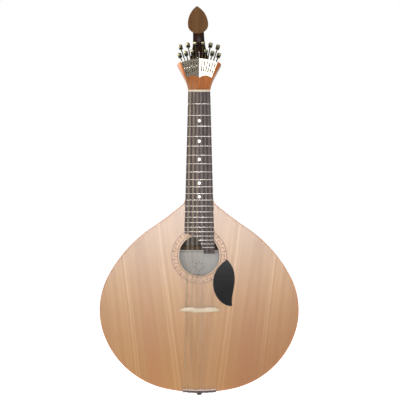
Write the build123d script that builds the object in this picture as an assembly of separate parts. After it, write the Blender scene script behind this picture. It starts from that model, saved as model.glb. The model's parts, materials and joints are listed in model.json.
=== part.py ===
from build123d import *
import math
import os

# A Portuguese guitar of the Coimbra kind. Millimetres, +Z up the neck, +X to the treble side,
# the soundboard faces -Y. The origin is on the end button's axis, halfway along its rim.

# ---------------------------------------------------------------- driving dimensions

SCALE_LENGTH = 470.0                 # open string, nut to bridge
BRIDGE_Z = 183.3                     # string rest on the bridge, above the tail
NUT_Z = BRIDGE_Z + SCALE_LENGTH
FRET_COUNT = 22
DOT_FRETS = [3, 5, 7, 10, 12]
COURSES = 6

# Body outline from the middle of the tail up to the neck: radius and turn in degrees of each
# arc, tangent to the one before. A negative radius curves the other way.
BODY_ARCS = [(348, 11.8), (185, 58.3), (156, 47.5), (292, 29.0), (-640, 7.2), (-17, 49.4)]
DEPTH_TAIL = 88.0                    # soundboard face to the back's outer face, on the centre line
DEPTH_NECK = 70.0
BACK_RADIUS = 3000.0                 # the back is a piece of a large sphere
SOUNDBOARD_T = 2.6
BACK_T = 2.8
SIDE_T = 2.2
BINDING_W = 1.6
BACK_FROM = 40.0                     # a depth in front of all of the back
BEHIND = 110.0                       # and one behind it
BACK_STRIP_W = 7.0
LINING_W = 6.0
LINING_H = 11.0
NECK_BLOCK_W = 72.0
NECK_BLOCK_L = 46.0
TAIL_BLOCK_W = 76.0
TAIL_BLOCK_L = 22.0
BRACE_W = 8.0
TOP_BRACE_H = 13.0
BACK_BRACE_H = 14.0
TOP_BRACES_Z = [354, 236, 128]
BACK_BRACES_Z = [312.5, 204, 92]
LABEL_Z = 268.5                      # middle of the paper label, seen through the soundhole
LABEL_W = 112.0
LABEL_H = 75.0
LABEL_T = 0.3

HOLE_Z = 297.3
HOLE_R = 44.2
ROSETTE_R_IN = 46.2
ROSETTE_R_OUT = 60.4
ROSETTE_T = 1.0

NUT_W = 48.0                         # fingerboard width at the nut
BODY_JOINT_W = 60.5                  # and at the twelfth fret
BOARD_T = 6.0
BOARD_R = 190.0                      # its playing face is part of a cylinder
BOARD_END_Z = 301.5                  # treble end, over the soundhole
BITE_R = 44.0                        # round bite cut from the fingerboard's bass end
BITE_X = -34.5
BITE_Z = 301.5
NUT_T = 4.0
FRET_CROWN_R = 1.0                   # a fret's crown is a half round
DOT_R = 3.35
DOT_T = 1.2

NECK_T_NUT = 15.0                    # below the fingerboard
NECK_T_HEEL = 19.0
HEEL_TOP_Z = 478.0

HEEL_FRONT = (6.0, 1.5, 58.0)        # depth, how much narrower than the joint, and length
HEEL_MIDDLE = (30.0, 24.0, 32.0)     # depth, half width and length
HEEL_END = (16.0, 20.0)
HEEL_CAP_END = (15.4, 19.2)
HEEL_CAP_T = 2.5
NUT_RISE = 1.6                       # nut's top above the fingerboard

HEAD_FLARE = 27.0                    # degrees that each side of the head turns outwards
HEAD_WAIST_R = 60.0
HEAD_HALF_W = 48.0
BEVEL_START_X = 31.5                 # where the bevels on the head's front edges begin
BEVEL_START_Y = 27.0
BEVEL_TOP_Y = 62.0                   # and where they reach their full width
BEVEL_W = 6.5                        # their width and drop at the head's top corners
BEVEL_DROP = 6.0
POCKET_DEPTH = 9.6
ARCH_RISE = 5.2                      # of each arch in the fan plate's lower edge
PLATE_SCREWS = [(24.0, 31.6), (3.4, 32.8)]
PLATE_SCREW_R = 0.9
PLATE_SCREW_L = 6.0
PLATE_SCREW_HEAD_R = 1.2
PLATE_SCREW_HEAD_H = 1.0
BEARING_BELOW = 0.8                  # how far the lower spindle bearing starts below the spindles
BEARING_ABOVE = 2.5                  # and how far up it holds them
BEARING_H = 2.6                      # its lower face below the spindles' axis
BORE_L = 12.0
SPIKE_H = -3.0                       # the middle spike's axis below the plate's ridge
SPIKE_R = 1.0
SPIKE_TIP = 17.0                     # its tip past the plate's top edge
SPIKE_COLLAR_R = 2.2
SPIKE_COLLAR_L = 2.0
HEAD_TILT = 12.0                     # degrees, back from the neck
HEAD_T = 24.0
FAN_R = 108.0                        # the fan plate's top edge, about the fan's centre
FAN_APEX = 72.0                      # the same edge above the nut, along the head
FAN_FOLD = 6.0                       # degrees that each half slopes from the middle ridge
FAN_HALF_W_TOP = 40.0
FAN_HALF_W_LOW = 26.8
FAN_LOW = 28.0                       # lower corners above the nut, along the head
PLATE_T = 1.2
FLANGE_H = 9.0

TUNERS_A_SIDE = 6
TUNER_FIRST = 3.5                    # degrees of the innermost spindle from the middle
TUNER_STEP = 3.35                    # degrees from one spindle to the next
SPINDLE_R = 1.1
SPINDLE_DEPTH = 4.6                  # spindle axis below the plate's front face
SPINDLE_TAIL_R = 74.0                # its lower end, from the fan's centre
SHAFT_R = 1.35                       # thicker part outside the flange
KNOB_R = 4.65
KNOB_L = 11.6
KNOB_ROUND_R = 2.2                   # the cap's rounded rim
KNOB_COLLAR = [(1.0, 0.0), (0.3, 0.8), (0.3, 3.2)]    # corners: inside the rim, past the start
KNOB_GROOVE = [(0.9, 3.5), (0.9, 3.9), (0.0, 4.3)]
KNOB_SOCKET = 4.0                    # how deep the shaft goes into the knob
KNOB_REACH = [29.2, 11.6]            # start of a long and a short spindle's knob past the top edge
SHAFT_START = 0.4                    # past the top edge
THRUST_R = 1.8                       # collar that bears on the flange from inside
THRUST_L = 1.2
THRUST_GAP = 0.2
THREAD_PITCH = 0.7
SLOT_R_LOW = 79.0
SLOT_R_TOP = 103.5
SLOT_W = 2.3
HOOK_L = 5.0                         # travelling block along the slot
HOOK_W = 3.4
HOOK_T = 1.7                         # thickness of the prong that stands in the slot
HOOK_PLATE_GAP = 0.3                 # between the block and the plate over it
HOOK_BELOW = 2.1                     # the block's lower face below the spindle's axis
HOOK_NEAR = -1.7                     # the prong's two faces along the screw
HOOK_FAR = 0.5
HOOK_REST_R = [91.5, 90.2, 92.4, 89.6, 91.0, 92.0]
RUNNING_GAP = 0.05
# Tuners 1 to 12 from the bass edge: side of the ridge, and place outwards from the ridge.
TUNER_ORDER = [(-1, index) for index in reversed(range(TUNERS_A_SIDE))]
TUNER_ORDER += [(1, index) for index in range(TUNERS_A_SIDE)]

BRIDGE_X = 1.2                       # the loose bridge stands a little to the treble side
BRIDGE_LENGTH = 87.0
BRIDGE_H = 10.6
BRIDGE_COURSE_STEP = 11.4
NUT_COURSE_STEP = 7.6
PAIR_GAP_BRIDGE = 2.6
PAIR_GAP_NUT = 2.0
TAIL_COURSE_STEP = 12.6
PAIR_GAP_TAIL = 5.2
BRIDGE_T = 8.8
BRIDGE_STEPS = (13.5, 35.0)          # raised blocks on its neck side, from its middle
BRIDGE_STEP_H = 1.5                  # how far those blocks stand out
BRIDGE_TIP = (2.4, 5.8)              # the ends, tailwards of the neck side
BRIDGE_FOOT = 24.0                   # half the span of the hollow under it
BRIDGE_HOLLOW = 1.6
BRIDGE_END_H = 4.6
BRIDGE_SHOULDER = (37.5, 8.6)        # where the crest's curve ends, and its height there
BRIDGE_CROWN_R = 230.0
BRIDGE_SLOPE = 38.0                  # degrees that its tail side leans from upright
BRIDGE_CREST_W = 2.2
PICKGUARD_T = 1.0
PICKGUARD_GAP = 0.8                  # between it and the rosette
PICKGUARD_TIP = (60.4, 288.5)
PICKGUARD_START = (30.4, 244.8)
PICKGUARD_OUTER = [(75.6, 262), (76.8, 238), (71.8, 209), (71.6, 189.8)]
PICKGUARD_FOOT = (70.4, 187.7)       # on the small round at its tail end
PICKGUARD_INNER = [(68.0, 187.2), (50, 194.5), (35.8, 212), (30.2, 232)]
SADDLE_H = 3.0
SADDLE_W = 2.5
STRING_BENDS = [1.2, 1.2, 3.0, 3.0]
STRING_R = [0.43, 0.36, 0.30, 0.17, 0.14, 0.12]
STRING_ABOVE_BOARD = 1.45            # string axis above the fingerboard at the nut

TAIL_HALF_W = 36.5
PIN_ROWS = [14.0, 23.0]              # depth of the two rows of string pins
PIN_R = 1.0
PIN_L = 2.7
PIN_SINK = 0.3                       # how far a pin's root goes into the plate
PIN_HEAD_R = 1.7
PIN_HEAD_T = 0.8
TAILPIECE_T = 1.4
TAIL_LIP_W = 3.4                     # of the plate folded over onto the soundboard
TAILPIECE_DEPTH = 52.0
TAIL_SCREWS = [(-31, 34), (31, 34), (-20, 47), (20, 47)]
TAIL_SCREW_R = 1.2
TAIL_SCREW_L = 12.0
TAIL_SCREW_HEAD_R = 2.8
TAIL_SCREW_HEAD_T = 1.2
BUTTON_Y = 40.0                      # end button axis behind the soundboard's face
BUTTON_RIM_Z = -9.2
BUTTON_RIM_H = 2.6
BUTTON_R = 6.2
BUTTON_NECK_R = 4.4
BUTTON_DOME_H = 2.0
BUTTON_PEG_R = 2.6                   # the inner end of its tapered peg
BUTTON_PEG_L = 15.0

FINIAL_L = 59.5
FINIAL_W = 44.5
FINIAL_TOP_Z = 843.0
FINIAL_T = 13.0
FINIAL_BELLY_TO_TIP = 40.5           # widest level to the point
FINIAL_X = -2.6
FINIAL_Y = 12.0                      # its face, behind the soundboard's face
FINIAL_NOD = 4.0                     # degrees that its face looks upwards
FINIAL_FRONT_BEVEL = 1.0
FINIAL_BACK_BEVEL = 4.0

# Stations up the stem: x, y and z of the front's middle, tilt back in degrees, width, depth.
STEM = [(0, 23.5, 716, 12, 45, 13), (0, 27.5, 733, 12, 38, 14), (-0.2, 31.5, 751, 10, 30, 15),
        (-1.0, 32.5, 770, -6, 25.5, 16), (-1.8, 28, 789, -24, 24, 16), (-2.4, 18, 807, -38, 23, 15)]
STEM_HOLLOW = 0.14                   # of its depth, by which its front is hollowed
STEM_FLANK = 0.55                    # of its depth, where the round back begins
FINIAL_LEAN = 3.6                    # degrees towards the bass side

NODES = {}


# ---------------------------------------------------------------- helpers

def slab(face, front, back):
    """A face drawn in X and Z, as a solid from one depth behind the soundboard to another."""
    return extrude(Pos(0, front, 0) * (Plane.XZ * face), amount=front - back)


def box_between(x0, y0, z0, x1, y1, z1):
    return Pos((x0 + x1) / 2, (y0 + y1) / 2, (z0 + z1) / 2) * Box(x1 - x0, y1 - y0, z1 - z0)


def half_space(side):
    """Everything on one side of the centre line: -1 bass, +1 treble."""
    return box_between(min(0, side * 300), -60, -60, max(0, side * 300), 160, 960)


def add(name, *pieces):
    NODES[name] = [solid for piece in pieces for solid in piece.solids()]


# ---------------------------------------------------------------- body outline and back

def body_face(inset):
    """The body's outline, moved inwards, from chained tangent arcs and their mirror image."""
    pen = Vector(0, inset)
    heading = 0.0
    right = []
    for radius, turn in BODY_ARCS:
        sweep = math.copysign(turn, radius)
        direction = Vector(math.cos(math.radians(heading)), math.sin(math.radians(heading)))
        arc = JernArc(pen, direction, abs(radius) - math.copysign(inset, radius), sweep)
        right.append(arc)
        pen = arc @ 1
        heading += sweep
    left = [edge.mirror(Plane.YZ) for edge in right]
    return Face(Wire(right + [Line(pen, Vector(-pen.X, pen.Y))] + left))


BODY_TOP_Z = body_face(0).bounding_box().max.Y


def back_ball(thickness):
    """The sphere of the back's outer face, made smaller by a thickness."""
    rise = DEPTH_TAIL - DEPTH_NECK
    half_chord = math.hypot(BODY_TOP_Z, rise) / 2
    to_centre = math.sqrt(BACK_RADIUS ** 2 - half_chord ** 2)
    centre_y = (DEPTH_TAIL + DEPTH_NECK) / 2 - to_centre * BODY_TOP_Z / (2 * half_chord)
    centre_z = BODY_TOP_Z / 2 - to_centre * rise / (2 * half_chord)
    return Pos(0, centre_y, centre_z) * Sphere(BACK_RADIUS - thickness)


def make_body():
    outer = body_face(0)
    panel = body_face(BINDING_W)
    rib_inside = body_face(SIDE_T)
    lining_inside = body_face(SIDE_T + LINING_W)
    hole = Pos(0, HOLE_Z) * Circle(HOLE_R)
    ring = Pos(0, HOLE_Z) * (Circle(ROSETTE_R_OUT) - Circle(ROSETTE_R_IN))
    inside = back_ball(BACK_T)

    rosette = slab(ring, 0, ROSETTE_T)
    board = slab(panel - hole, 0, SOUNDBOARD_T) - rosette
    add("soundboard_bass_half", board & half_space(-1))
    add("soundboard_treble_half", board & half_space(1))
    add("rosette", rosette)

    sheet = (slab(panel, BACK_FROM, BEHIND) & back_ball(0)) - inside
    strip = box_between(-BACK_STRIP_W / 2, 0, -1, BACK_STRIP_W / 2, 120, BODY_TOP_Z + 1)
    add("back_centre_strip", sheet & strip)
    add("back_bass_half", (sheet - strip) & half_space(-1))
    add("back_treble_half", (sheet - strip) & half_space(1))
    back_edge = (slab(outer - panel, BACK_FROM, BEHIND) & back_ball(0)) - inside
    add("bindings", slab(outer - panel, 0, SOUNDBOARD_T), back_edge)

    ribs = slab(outer - rib_inside, SOUNDBOARD_T, BEHIND) & inside
    add("side_bass", ribs & half_space(-1))
    add("side_treble", ribs & half_space(1))

    neck_block = box_between(-NECK_BLOCK_W / 2, SOUNDBOARD_T, BODY_TOP_Z - NECK_BLOCK_L,
                             NECK_BLOCK_W / 2, BEHIND, BODY_TOP_Z)
    tail_block = box_between(-TAIL_BLOCK_W / 2, SOUNDBOARD_T, 0,
                             TAIL_BLOCK_W / 2, BEHIND, TAIL_BLOCK_L)
    hollow = slab(rib_inside, SOUNDBOARD_T, BEHIND) & inside
    add("neck_block", hollow & neck_block)
    add("tail_block", hollow & tail_block)
    blocks = neck_block + tail_block

    lining = rib_inside - lining_inside
    shell = inside - back_ball(BACK_T + LINING_H)
    add("linings", slab(lining, SOUNDBOARD_T, SOUNDBOARD_T + LINING_H) - blocks,
        (slab(lining, BACK_FROM, BEHIND) & shell) - blocks)
    return slab(lining_inside, SOUNDBOARD_T, BEHIND) & inside


def make_braces(hollow):
    """Bars across the soundboard and the back, cut to the room between the linings."""
    top = []
    for z in TOP_BRACES_Z:
        top += (cross_bar(z, SOUNDBOARD_T, SOUNDBOARD_T + TOP_BRACE_H) & hollow).solids()
    add("soundboard_braces", *top)
    back = []
    shell = hollow - back_ball(BACK_T + BACK_BRACE_H)
    for z in BACK_BRACES_Z:
        back += (cross_bar(z, 0, BEHIND) & shell).solids()
    add("back_braces", *back)
    label = slab(Pos(0, LABEL_Z) * RectangleRounded(LABEL_W, LABEL_H, 3), BACK_FROM, BEHIND)
    add("label", (label & back_ball(BACK_T)) - back_ball(BACK_T + LABEL_T))


def cross_bar(z, front, back):
    return box_between(-220, front, z - BRACE_W / 2, 220, back, z + BRACE_W / 2)


# ---------------------------------------------------------------- neck and fingerboard

def fret_z(number):
    return BRIDGE_Z + SCALE_LENGTH * 2 ** (-number / 12)


def board_half_w(z):
    """Half the fingerboard's width, which grows evenly from the nut to the body."""
    along = (NUT_Z - z) / (NUT_Z - fret_z(12))
    return (NUT_W + (BODY_JOINT_W - NUT_W) * along) / 2


def board_skin(height):
    """A long cylinder whose front is a height above the fingerboard's middle."""
    radius = BOARD_R + height
    return Pos(0, BOARD_R - BOARD_T, 480) * Cylinder(radius, 520)


def board_front(x, height=0.0):
    return BOARD_R - BOARD_T - math.sqrt((BOARD_R + height) ** 2 - x ** 2)


def make_fingerboard():
    wide = board_half_w(BOARD_END_Z)
    narrow = board_half_w(NUT_Z)
    plan = Polygon((-wide, BOARD_END_Z), (wide, BOARD_END_Z), (narrow, NUT_Z), (-narrow, NUT_Z),
                   align=None)
    # A round bite on the bass side leaves a tongue under the treble strings.
    plan -= Pos(BITE_X, BITE_Z) * Circle(BITE_R)
    blank = slab(plan, -12, 0) & board_skin(0)

    dots = Part()
    for number in DOT_FRETS:
        z = (fret_z(number) + fret_z(number - 1)) / 2
        dots += slab(Pos(0, z) * Circle(DOT_R), -12, 20) & (board_skin(0) - board_skin(-DOT_T))
    frets = []
    for number in range(1, FRET_COUNT + 1):
        z = fret_z(number)
        crown = Pos(0, BOARD_R - BOARD_T, z) * Torus(BOARD_R, FRET_CROWN_R) - board_skin(0)
        frets.append(crown & slab(plan & (Pos(0, z) * Rectangle(90, 3 * FRET_CROWN_R)), -12, 0))
    add("fingerboard", blank - dots)
    add("fret_dots", dots)
    add("frets", *frets)


def neck_section(z, half_w, depth):
    """A flat front and a half-round back, across the neck."""
    flat = Line((-half_w, 0), (half_w, 0))
    back = EllipticalCenterArc((0, 0), half_w, depth, start_angle=0, arc_size=180)
    return Pos(0, 0, z) * make_face([flat, back])


def heel_section(y, half_w, length):
    """The same shape lying flat, with its straight side against the body."""
    flat = Line((-half_w, 0), (half_w, 0))
    nose = EllipticalCenterArc((0, 0), half_w, length, start_angle=0, arc_size=180)
    return Pos(0, y, BODY_TOP_Z) * (Plane.XZ * make_face([flat, nose]))


def make_neck():
    joint_half_w = board_half_w(BODY_TOP_Z)
    shaft = loft([neck_section(BODY_TOP_Z, joint_half_w, NECK_T_HEEL + 3),
                  neck_section(HEEL_TOP_Z, board_half_w(HEEL_TOP_Z), NECK_T_HEEL),
                  neck_section(NUT_Z + NUT_T, NUT_W / 2, NECK_T_NUT)])
    front_y, narrower, front_l = HEEL_FRONT
    heel_end = heel_section(DEPTH_NECK - HEEL_CAP_T, *HEEL_END)
    heel = loft([heel_section(front_y, joint_half_w - narrower, front_l),
                 heel_section(*HEEL_MIDDLE), heel_end])
    cap = loft([heel_end, heel_section(DEPTH_NECK, *HEEL_CAP_END)])
    add("neck", (shaft + heel) - head_blank())
    add("heel_cap", cap)

    nut = Pos(0, 0, NUT_Z) * extrude(nut_profile(), amount=NUT_T)
    add("nut", nut)


def nut_profile():
    """The nut seen along the neck: flat below, and above curved like the fingerboard."""
    half_w = NUT_W / 2
    top = -BOARD_T - NUT_RISE
    edge = board_front(half_w, NUT_RISE)
    return make_face([Line((-half_w, 0), (half_w, 0)), Line((half_w, 0), (half_w, edge)),
                      ThreePointArc((half_w, edge), (0, top), (-half_w, edge)),
                      Line((-half_w, edge), (-half_w, 0))])


# ---------------------------------------------------------------- strings' places

def string_radius(number):
    return STRING_R[number // 2]


def string_x(number, course_step, pair_gap):
    """Strings are numbered 0 to 11 from the bass edge, two to a course."""
    course = number // 2 - (COURSES - 1) / 2
    return course * course_step + (number % 2 - 0.5) * pair_gap


def string_x_nut(number):
    return string_x(number, NUT_COURSE_STEP, PAIR_GAP_NUT)


def string_y_nut(x):
    return board_front(x, STRING_ABOVE_BOARD)


# ---------------------------------------------------------------- head

def head_plane():
    """X across, Y up the head and Z out of its face, which leans back from the neck."""
    tilt = math.radians(HEAD_TILT)
    return Plane(origin=(0, 0, NUT_Z + NUT_T), x_dir=(1, 0, 0),
                 z_dir=(0, -math.cos(tilt), math.sin(tilt)))


def fan_plane(side):
    """The same, sloping away from the middle ridge like one half of the fan plate."""
    return head_plane() * Rot(0, side * FAN_FOLD, 0)


def fan_place(side, index, radius, height):
    """A location on a tuner's line: its Y runs outwards from the fan's centre."""
    angle = TUNER_FIRST + TUNER_STEP * index
    turned = Pos(0, FAN_APEX - FAN_R, 0) * Rot(0, 0, -side * angle)
    return fan_plane(side) * turned * Pos(0, radius, height)


def head_outline():
    """Straight at the nut, an arc outwards, and a straight flare up to the top corner."""
    turn = math.radians(HEAD_FLARE)
    half_w = NUT_W / 2
    arc_x = half_w + HEAD_WAIST_R * (1 - math.cos(turn))
    arc_y = HEAD_WAIST_R * math.sin(turn)
    corner_y = arc_y + (HEAD_HALF_W - arc_x) / math.tan(turn)
    right = [JernArc((half_w, 0), (0, 1), HEAD_WAIST_R, -HEAD_FLARE),
             Line((arc_x, arc_y), (HEAD_HALF_W, corner_y))]
    left = [edge.mirror(Plane.YZ) for edge in right]
    crown = ThreePointArc((HEAD_HALF_W, corner_y), (0, FAN_APEX), (-HEAD_HALF_W, corner_y))
    return Face(Wire(right + [crown] + left + [Line((-half_w, 0), (half_w, 0))]))


def head_blank():
    """The head before its pocket, with a bevel that widens up each front edge."""
    blank = extrude(Pos(0, 0, -HEAD_T) * head_outline(), amount=HEAD_T)
    for side in (-1, 1):
        start = Vector(side * BEVEL_START_X, BEVEL_START_Y, 0)
        inner = Vector(side * (HEAD_HALF_W - BEVEL_W), BEVEL_TOP_Y, 0)
        outer = Vector(side * HEAD_HALF_W, BEVEL_TOP_Y, -BEVEL_DROP)
        normal = side * (inner - start).cross(outer - inner)
        bevel = Plane(origin=start, x_dir=inner - start, z_dir=normal)
        blank = split(blank, bisect_by=bevel, keep=Keep.TOP)
    return head_plane() * blank


def fan_half(inner, outer):
    """Half of the fan plate's outline between two radii about the fan's centre, seen on its
    own sloping plane for the treble side. The outer edge is straight."""
    centre_y = FAN_APEX - FAN_R
    band = Pos(0, centre_y) * (Circle(outer) - Circle(inner))
    lean = (FAN_HALF_W_TOP - FAN_HALF_W_LOW) / (FAN_APEX - 8 - FAN_LOW)
    reach = FAN_HALF_W_LOW + lean * (200 - FAN_LOW)
    foot = FAN_HALF_W_LOW - lean * FAN_LOW
    wedge = make_face(Polyline((0, 0), (foot, 0), (reach, 200), (0, 200), close=True))
    return band & wedge


def on_side(side, face, low, high):
    """A face drawn for the treble side, as a solid between two heights on either side's plane."""
    drawn = face if side > 0 else mirror(face, about=Plane.YZ)
    return fan_plane(side) * extrude(Pos(0, 0, low) * drawn, amount=high - low)


def scallop():
    """The plate's lower edge on the treble side: one arch from the corner to a middle cusp."""
    arch = ThreePointArc((0, FAN_LOW), (FAN_HALF_W_LOW / 2, FAN_LOW + ARCH_RISE),
                         (FAN_HALF_W_LOW, FAN_LOW))
    sides = Polyline((FAN_HALF_W_LOW, FAN_LOW), (FAN_HALF_W_LOW + 9, FAN_LOW), (FAN_HALF_W_LOW + 9, 0),
                     (0, 0), (0, FAN_LOW))
    return make_face(Curve() + [arch, sides])


def plate_half():
    return fan_half(1, FAN_R) - scallop()


def make_tuner_plate():
    plate = Part()
    for side in (-1, 1):
        plate += on_side(side, plate_half(), -PLATE_T, 0)
        plate += on_side(side, fan_half(FAN_R - PLATE_T, FAN_R), -FLANGE_H, 0)
    screws = []
    bearings = []
    for side in (-1, 1):
        bar = fan_half(SPINDLE_TAIL_R - BEARING_BELOW, SPINDLE_TAIL_R + BEARING_ABOVE) - ridge_gap()
        bearing = on_side(side, bar, -SPINDLE_DEPTH - BEARING_H, -PLATE_T)
        for index in range(TUNERS_A_SIDE):
            middle = (SLOT_R_LOW + SLOT_R_TOP) / 2
            slot = SlotOverall(SLOT_R_TOP - SLOT_R_LOW, SLOT_W, rotation=90)
            cutter = extrude(Pos(0, 0, -4) * slot, amount=8)
            plate -= fan_place(side, index, middle, 0) * cutter
            bore = Rot(90, 0, 0) * Cylinder(SPINDLE_R + RUNNING_GAP, BORE_L)
            plate -= fan_place(side, index, FAN_R, -SPINDLE_DEPTH) * bore
            bearing -= fan_place(side, index, SPINDLE_TAIL_R + BORE_L / 2 - 0.5, -SPINDLE_DEPTH) * bore
        bearings.append(bearing)
        for x, y in PLATE_SCREWS:
            place = fan_plane(side) * Pos(side * x, y, 0)
            head = Cylinder(PLATE_SCREW_HEAD_R, PLATE_SCREW_HEAD_H) - Pos(0, 0, 0.4) * Box(4, 0.5, 0.6)
            plate -= place * Cylinder(PLATE_SCREW_R, 8)
            screws.append(place * (Pos(0, 0, PLATE_SCREW_HEAD_H / 2) * head + screw_shank()))
    add("fan_plate", plate)
    add("spindle_bearings", *bearings)
    add("fan_plate_screws", *screws)

    spike_foot = head_plane() * Pos(0, FAN_APEX - PLATE_T / 2, SPIKE_H)
    spike = rod(SPIKE_COLLAR_R, 0, SPIKE_COLLAR_L) + rod(SPIKE_R, SPIKE_COLLAR_L, SPIKE_TIP)
    add("centre_spike", spike_foot * Pos(0, PLATE_T / 2, 0) * spike)


def screw_shank():
    return Pos(0, 0, -PLATE_SCREW_L / 2) * Cylinder(PLATE_SCREW_R, PLATE_SCREW_L)


def ridge_gap():
    return Rectangle(3, 400)


def make_head():
    head = head_blank()
    for side in (-1, 1):
        head -= on_side(side, plate_half(), -PLATE_T, 20)
        head -= on_side(side, fan_half(FAN_R - PLATE_T, FAN_R + 9), -FLANGE_H - 0.3, 20)
        head -= on_side(side, fan_half(SPINDLE_TAIL_R - BEARING_BELOW, FAN_R), -POCKET_DEPTH, 20)
        for x, y in PLATE_SCREWS:
            head -= fan_plane(side) * Pos(side * x, y, 0) * screw_shank()
    head -= NODES["centre_spike"][0]
    add("headstock", head)


# ---------------------------------------------------------------- tuners

def rod(radius, start, end):
    """A round bar along Y."""
    return Pos(0, (start + end) / 2, 0) * Rot(90, 0, 0) * Cylinder(radius, end - start)


def knob(start):
    """Turned knob: a dark collar, a groove and a domed cap, round the Y axis."""
    end = start + KNOB_L
    side = end - KNOB_ROUND_R
    middle = KNOB_ROUND_R * (1 - math.sqrt(0.5))
    corners = [(KNOB_R - cut, start + along) for cut, along in KNOB_COLLAR + KNOB_GROOVE]
    half = make_face(Curve() + [
        Polyline((0, start), *corners, (KNOB_R, side)),
        ThreePointArc((KNOB_R, side), (KNOB_R - middle, end - middle), (KNOB_R - KNOB_ROUND_R, end)),
        Polyline((KNOB_R - KNOB_ROUND_R, end), (0, end), (0, start))])
    return revolve(half, Axis.Y)


def make_tuners():
    number = 0
    for side, index in TUNER_ORDER:
        number += 1
        start = FAN_R + KNOB_REACH[index % 2]
        inside = FAN_R - PLATE_T - THRUST_GAP
        spindle = rod(SPINDLE_R, SPINDLE_TAIL_R, FAN_R + SHAFT_START)
        spindle += rod(SHAFT_R, FAN_R + SHAFT_START, start + KNOB_SOCKET)
        spindle += rod(THRUST_R, inside - THRUST_L, inside)
        grip = knob(start) - spindle
        place = fan_place(side, index, 0, -SPINDLE_DEPTH)
        add(f"tuner_{number:02d}", place * spindle, place * grip)
        add(f"hook_{number:02d}", fan_place(side, index, HOOK_REST_R[index], 0) * hook())


def hook():
    """A block that runs on the screw under the plate, and a hook that stands up through the
    slot with its mouth away from the nut. X is across, Y along the screw, Z out of the plate."""
    top = -PLATE_T - HOOK_PLATE_GAP
    low = -SPINDLE_DEPTH - HOOK_BELOW
    block = Pos(0, 0, (top + low) / 2) * Box(HOOK_W, HOOK_L, top - low)
    block -= Pos(0, 0, -SPINDLE_DEPTH) * rod(SPINDLE_R + RUNNING_GAP, -HOOK_L, HOOK_L)
    side_view = make_face(Curve() + [
        Polyline((HOOK_NEAR, top), (HOOK_NEAR, 1.6)),
        ThreePointArc((HOOK_NEAR, 1.6), (-0.9, 2.9), (0.8, 3.3)),
        Polyline((0.8, 3.3), (2.6, 3.1), (2.6, 2.3), (0.9, 2.2), (HOOK_FAR, 1.8), (HOOK_FAR, top),
                 (HOOK_NEAR, top))])
    prong = Rot(0, 90, 0) * Rot(0, 0, 90) * extrude(side_view, amount=HOOK_T / 2, both=True)
    return block + prong


# ---------------------------------------------------------------- stem and finial

def stem_section(x, y, z, tilt, width, depth):
    """Across the stem: round at the back and hollowed in front, square to its path."""
    a = width / 2
    flank = depth * STEM_FLANK
    front = ThreePointArc((-a, 0), (0, depth * STEM_HOLLOW), (a, 0))
    back = ThreePointArc((a, flank), (0, depth), (-a, flank))
    face = make_face([front, Line((a, 0), (a, flank)), back, Line((-a, flank), (-a, 0))])
    return Pos(x, y, z) * Rot(-tilt, 0, 0) * face


def make_stem():
    stem = loft([stem_section(*station) for station in STEM])
    for side in (-1, 1):
        stem -= on_side(side, fan_half(20, FAN_R + 0.01), -POCKET_DEPTH - 2, 30)
    stem = stem - NODES["headstock"][0]
    finial = make_finial()
    add("stem", largest(stem - finial))
    add("finial", finial)


def largest(shape):
    return max(shape.solids(), key=lambda solid: solid.volume)


def make_finial():
    """A flat teardrop with its point up, chamfered in front and rounded behind."""
    a = FINIAL_W / 2
    drop = FINIAL_L - FINIAL_BELLY_TO_TIP
    flank_r = (a ** 2 + FINIAL_BELLY_TO_TIP ** 2) / (2 * a)
    right = [EllipticalCenterArc((0, 0), a, drop, start_angle=-90, arc_size=90),
             RadiusArc((a, 0), (0, FINIAL_BELLY_TO_TIP), -flank_r)]
    left = [edge.mirror(Plane.YZ) for edge in right]
    drop_face = Face(Wire(right + left))
    body = extrude(drop_face, amount=FINIAL_T)
    body = chamfer(body.faces().sort_by(Axis.Z)[-1].edges(), FINIAL_FRONT_BEVEL)
    body = chamfer(body.faces().sort_by(Axis.Z)[0].edges(), FINIAL_BACK_BEVEL)
    place = Plane(origin=(FINIAL_X, FINIAL_Y, FINIAL_TOP_Z - FINIAL_BELLY_TO_TIP),
                  x_dir=(1, 0, 0), z_dir=(0, -1, 0))
    return place * Rot(-FINIAL_NOD, 0, FINIAL_LEAN) * Pos(0, 0, -FINIAL_T) * body


# ---------------------------------------------------------------- bridge and pickguard

def bridge_top(x):
    """Height of the bridge's curved crest in front of the soundboard."""
    return BRIDGE_H - (x - BRIDGE_X) ** 2 / (2 * BRIDGE_CROWN_R)


def bridge_plan():
    """Seen from the front: a straight neck side with two raised blocks, and a bowed tail side."""
    half = BRIDGE_LENGTH / 2
    step_in, step_out = BRIDGE_STEPS
    tip_front, tip_back = BRIDGE_TIP
    right = [(step_in, 0), (step_in, BRIDGE_STEP_H), (step_out, BRIDGE_STEP_H), (step_out, 0),
             (half, -tip_front), (half, -tip_back)]
    left = [(-x, z) for x, z in reversed(right)]
    bow = ThreePointArc((half, -tip_back), (0, -BRIDGE_T), (-half, -tip_back))
    return make_face(Curve() + [Polyline(*left, *right), bow])


def bridge_front():
    """Seen from the tail, upside down: curved crest, sloping ends, and an arched hollow."""
    half = BRIDGE_LENGTH / 2
    shoulder_x, shoulder_h = BRIDGE_SHOULDER
    return make_face(Curve() + [
        ThreePointArc((-shoulder_x, -shoulder_h), (0, -BRIDGE_H), (shoulder_x, -shoulder_h)),
        Polyline((shoulder_x, -shoulder_h), (half, -BRIDGE_END_H), (half, 0), (BRIDGE_FOOT, 0)),
        ThreePointArc((BRIDGE_FOOT, 0), (0, -BRIDGE_HOLLOW), (-BRIDGE_FOOT, 0)),
        Polyline((-BRIDGE_FOOT, 0), (-half, 0), (-half, -BRIDGE_END_H), (-shoulder_x, -shoulder_h))])


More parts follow.
